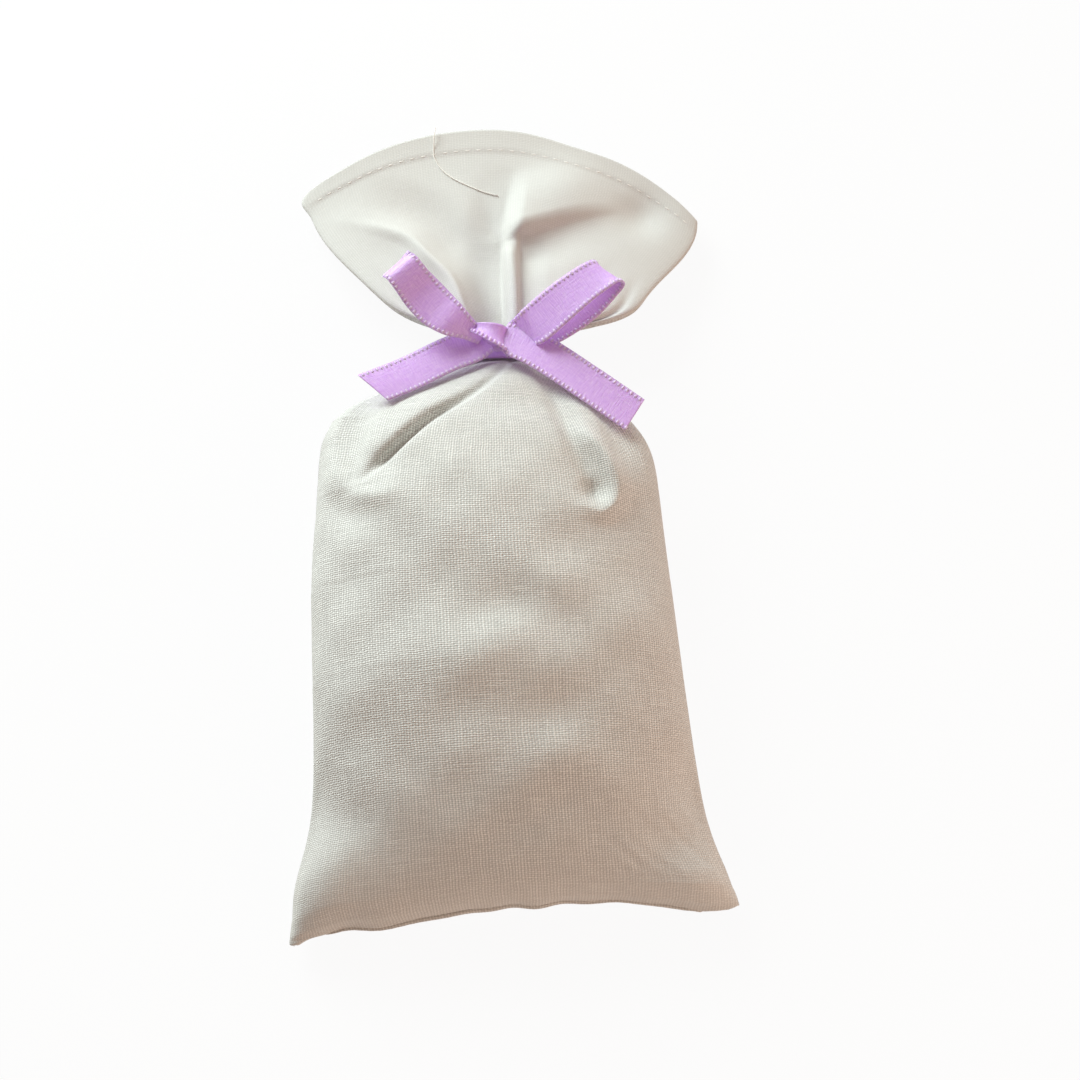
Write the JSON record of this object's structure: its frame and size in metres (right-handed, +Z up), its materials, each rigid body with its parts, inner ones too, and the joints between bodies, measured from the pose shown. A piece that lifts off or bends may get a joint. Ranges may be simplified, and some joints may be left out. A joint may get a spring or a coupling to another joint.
{
  "type": "lavender sachet",
  "caption": "Sewn cotton sachet of dried lavender, plump and drawn in at the neck by a satin ribbon bow, with a hemmed mouth that flares above the tie.",
  "frame": {"origin": "middle of the flat patch under the filled body, on which the sachet lies", "axes": "+X to the right, +Y from the bottom seam towards the mouth, +Z up out of the front panel"},
  "size_m": [0.0814, 0.1574, 0.0305],
  "materials": {
    "cotton_cloth": "matte",
    "stitching": "matte",
    "satin_ribbon": "satin",
    "lavender_buds": "matte"
  },
  "bodies": {
    "bag": {"front_panel": "cotton_cloth", "back_panel": "cotton_cloth", "lavender_filling": "lavender_buds", "side_seam_thread_left": "stitching", "side_seam_thread_right": "stitching", "bottom_seam_thread": "stitching", "ribbon_neck_wrap": "satin_ribbon", "ribbon_knot": "satin_ribbon"},
    "mouth_flare": {"front_flare": "cotton_cloth", "back_flare": "cotton_cloth", "flare_seam_thread_left": "stitching", "flare_seam_thread_right": "stitching", "hem_thread_front": "stitching", "hem_thread_back": "stitching"},
    "bow_loop_left": {"ribbon_loop_left": "satin_ribbon"},
    "bow_tail_left": {"ribbon_tail_left": "satin_ribbon"},
    "bow_loop_right": {"ribbon_loop_right": "satin_ribbon"},
    "bow_tail_right": {"ribbon_tail_right": "satin_ribbon"}
  },
  "joints": [
    {"name": "neck_bend", "type": "hinge", "parent": "bag", "child": "mouth_flare", "pos_m": [0, 0.0638, 0.01465], "axis": [1, 0, 0], "range_deg": [0, 25]},
    {"name": "loop_left_lift", "type": "hinge", "parent": "bag", "child": "bow_loop_left", "pos_m": [-0.00527, 0.06245, 0.0173], "axis": [0.4175, 0.8806, -0.2241], "range_deg": [0, 45]},
    {"name": "loop_right_lift", "type": "hinge", "parent": "bag", "child": "bow_loop_right", "pos_m": [0.00258, 0.0619, 0.0173], "axis": [0.1604, -0.8994, 0.4066], "range_deg": [0, 45]},
    {"name": "tail_left_lift", "type": "hinge", "parent": "bag", "child": "bow_tail_left", "pos_m": [-0.00467, 0.05852, 0.01667], "axis": [-0.366, 0.7849, -0.5], "range_deg": [0, 50]},
    {"name": "tail_right_lift", "type": "hinge", "parent": "bag", "child": "bow_tail_right", "pos_m": [0.0015, 0.0582, 0.01679], "axis": [-0.446, -0.7423, 0.5], "range_deg": [0, 50]}
  ]
}
